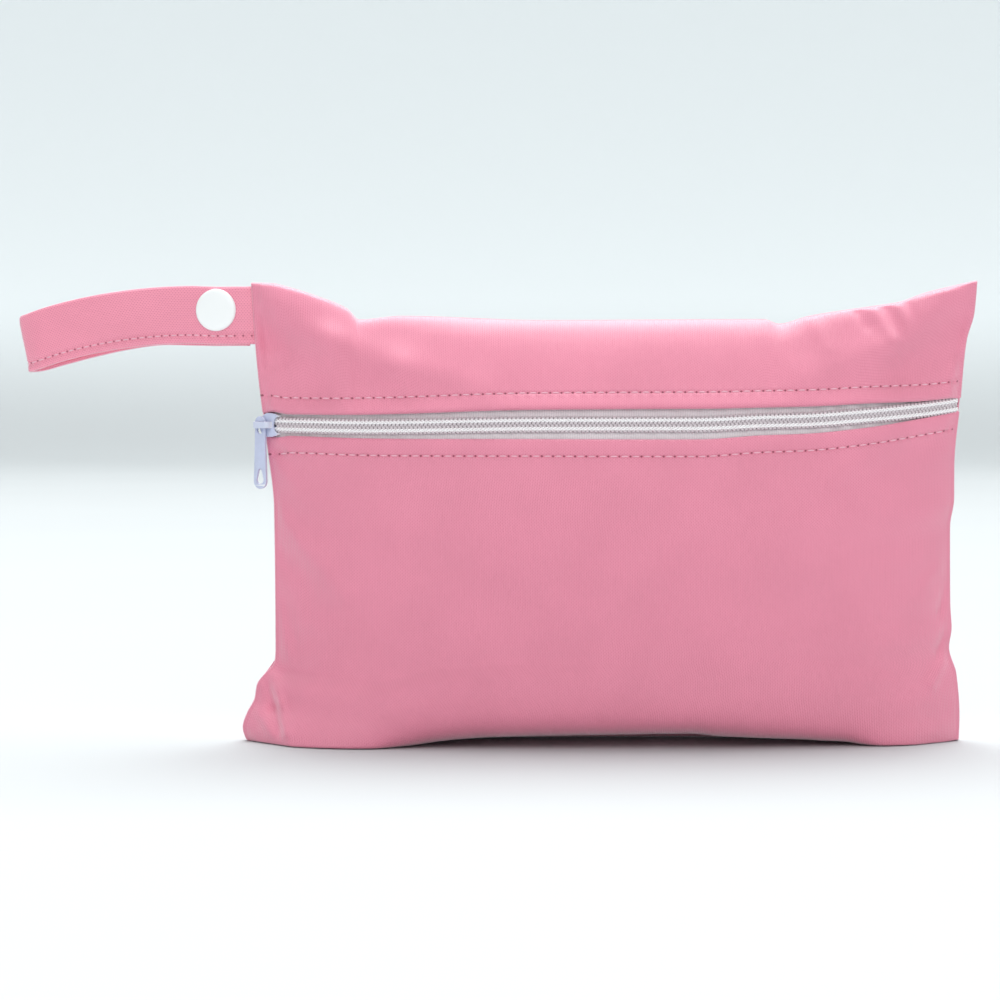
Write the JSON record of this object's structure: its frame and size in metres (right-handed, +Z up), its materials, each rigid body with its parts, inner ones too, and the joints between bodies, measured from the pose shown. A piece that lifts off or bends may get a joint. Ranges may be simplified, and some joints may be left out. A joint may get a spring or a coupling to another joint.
{
  "type": "cloth diaper wet bag",
  "caption": "Small stuffed cloth pouch that stands on its lower fold, with a coil zip across its front, a slider with a hanging pull, and a flat strap doubled into a loop by a snap.",
  "frame": {"origin": "middle of the whole object's footprint, strap included, on the surface that it stands on", "axes": "+X to the right along the zip, as seen from the front; +Y to the back; +Z up"},
  "size_m": [0.2806, 0.0504, 0.1352],
  "materials": {
    "pouch_cloth": "fine pink knit with a soft sheen",
    "strap_cloth": "pink knit, ribbed along the strap",
    "zip_tape": "white woven tape",
    "zip_coil": "white nylon coil with sewing cords",
    "slider_paint": "pale periwinkle enamel on cast zinc",
    "snap_plastic": "white, glossy"
  },
  "bodies": {
    "bag": {"bag_body": "pouch_cloth", "zip_tape_upper": "zip_tape", "zip_tape_lower": "zip_tape", "zip_coil_upper": "zip_coil", "zip_coil_lower": "zip_coil", "slider_body": "slider_paint", "strap": "strap_cloth", "snap_cap_front": "snap_plastic", "snap_stud": "snap_plastic", "snap_socket": "snap_plastic", "snap_cap_back": "snap_plastic"},
    "pull": {"pull_tab": "slider_paint"}
  },
  "joints": [
    {"name": "pull_swing", "type": "hinge", "parent": "bag", "child": "pull", "pos_m": [-0.06987, -0.00226, 0.09297], "axis": [-0.519, -0.8548, 0], "range_deg": [-120, 35]}
  ]
}
